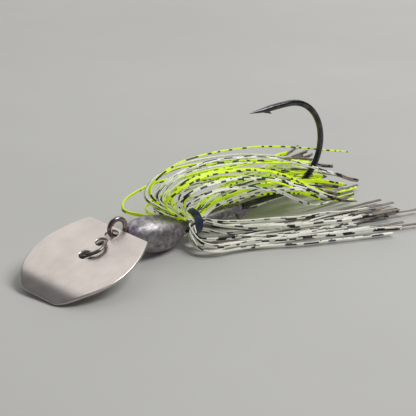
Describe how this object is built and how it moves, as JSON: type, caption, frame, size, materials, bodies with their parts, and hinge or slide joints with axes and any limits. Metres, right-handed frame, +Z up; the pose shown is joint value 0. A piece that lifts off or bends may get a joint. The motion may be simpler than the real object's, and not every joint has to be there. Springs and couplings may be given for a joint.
{
  "type": "bladed jig fishing lure",
  "caption": "Bladed vibrating jig: nickel blade swinging on the hook eye with its line snap, lead egg head cast on a barbed hook, tied skirt of folded silicone strands.",
  "frame": {"origin": "middle of the bounding box, on the table the lure lies on", "axes": "+X runs from the blade back to the hook bend and the skirt's tail, +Z is up, on the side of the hook point"},
  "size_m": [0.0958, 0.0522, 0.0272],
  "materials": {
    "satin_nickel": "warm satin nickel plate, bright sheared edge",
    "black_nickel": "glossy black nickel",
    "snap_wire": "dark bright wire",
    "bare_lead": "bare cast lead, satin, purplish mottling",
    "navy_thread": "waxed tying thread",
    "chartreuse_silicone": "satin silicone, black bars printed on one side of some strands",
    "barred_clear_silicone": "translucent silicone with black bars",
    "brown_barred_silicone": "translucent silicone with brown bars"
  },
  "bodies": {
    "lure": {"hook": "black_nickel", "lead_head": "bare_lead", "thread_wrap": "navy_thread", "skirt_strand_brown_a02": "brown_barred_silicone", "skirt_strand_brown_a14": "brown_barred_silicone", "skirt_strand_brown_c12": "brown_barred_silicone", "skirt_strand_brown_c15": "brown_barred_silicone", "skirt_strand_chartreuse_a05": "chartreuse_silicone", "skirt_strand_chartreuse_a06": "chartreuse_silicone", "skirt_strand_chartreuse_a07": "chartreuse_silicone", "skirt_strand_chartreuse_a09": "chartreuse_silicone", "skirt_strand_chartreuse_a11": "chartreuse_silicone", "skirt_strand_chartreuse_b02": "chartreuse_silicone", "skirt_strand_chartreuse_b04": "chartreuse_silicone", "skirt_strand_chartreuse_b06": "chartreuse_silicone", "skirt_strand_chartreuse_c05": "chartreuse_silicone", "skirt_strand_chartreuse_c07": "chartreuse_silicone", "skirt_strand_chartreuse_c09": "chartreuse_silicone", "skirt_strand_clear_a01": "barred_clear_silicone", "skirt_strand_clear_a03": "barred_clear_silicone", "skirt_strand_clear_a04": "barred_clear_silicone", "skirt_strand_clear_a08": "barred_clear_silicone", "skirt_strand_clear_a10": "barred_clear_silicone", "skirt_strand_clear_a12": "barred_clear_silicone", "skirt_strand_clear_a13": "barred_clear_silicone", "skirt_strand_clear_b01": "barred_clear_silicone", "skirt_strand_clear_b03": "barred_clear_silicone", "skirt_strand_clear_b05": "barred_clear_silicone", "skirt_strand_clear_b07": "barred_clear_silicone", "skirt_strand_clear_b08": "barred_clear_silicone", "skirt_strand_clear_c01": "barred_clear_silicone", "skirt_strand_clear_c02": "barred_clear_silicone", "skirt_strand_clear_c03": "barred_clear_silicone", "skirt_strand_clear_c04": "barred_clear_silicone", "skirt_strand_clear_c06": "barred_clear_silicone", "skirt_strand_clear_c08": "barred_clear_silicone", "skirt_strand_clear_c10": "barred_clear_silicone", "skirt_strand_clear_c11": "barred_clear_silicone", "skirt_strand_clear_c13": "barred_clear_silicone", "skirt_strand_clear_c14": "barred_clear_silicone", "skirt_strand_clear_c16": "barred_clear_silicone"},
    "blade": {"blade": "satin_nickel"},
    "snap": {"line_snap": "snap_wire"}
  },
  "joints": [
    {"name": "blade_swing", "type": "hinge", "parent": "lure", "child": "blade", "pos_m": [-0.02494, 0.00341, 0.00865], "axis": [0, 1, 0], "range_deg": [-20, 100]},
    {"name": "snap_swing", "type": "hinge", "parent": "blade", "child": "snap", "pos_m": [-0.02943, 0.0029, 0.00658], "axis": [-0.9536, -0.1647, -0.2521], "range_deg": [0, 108]}
  ]
}
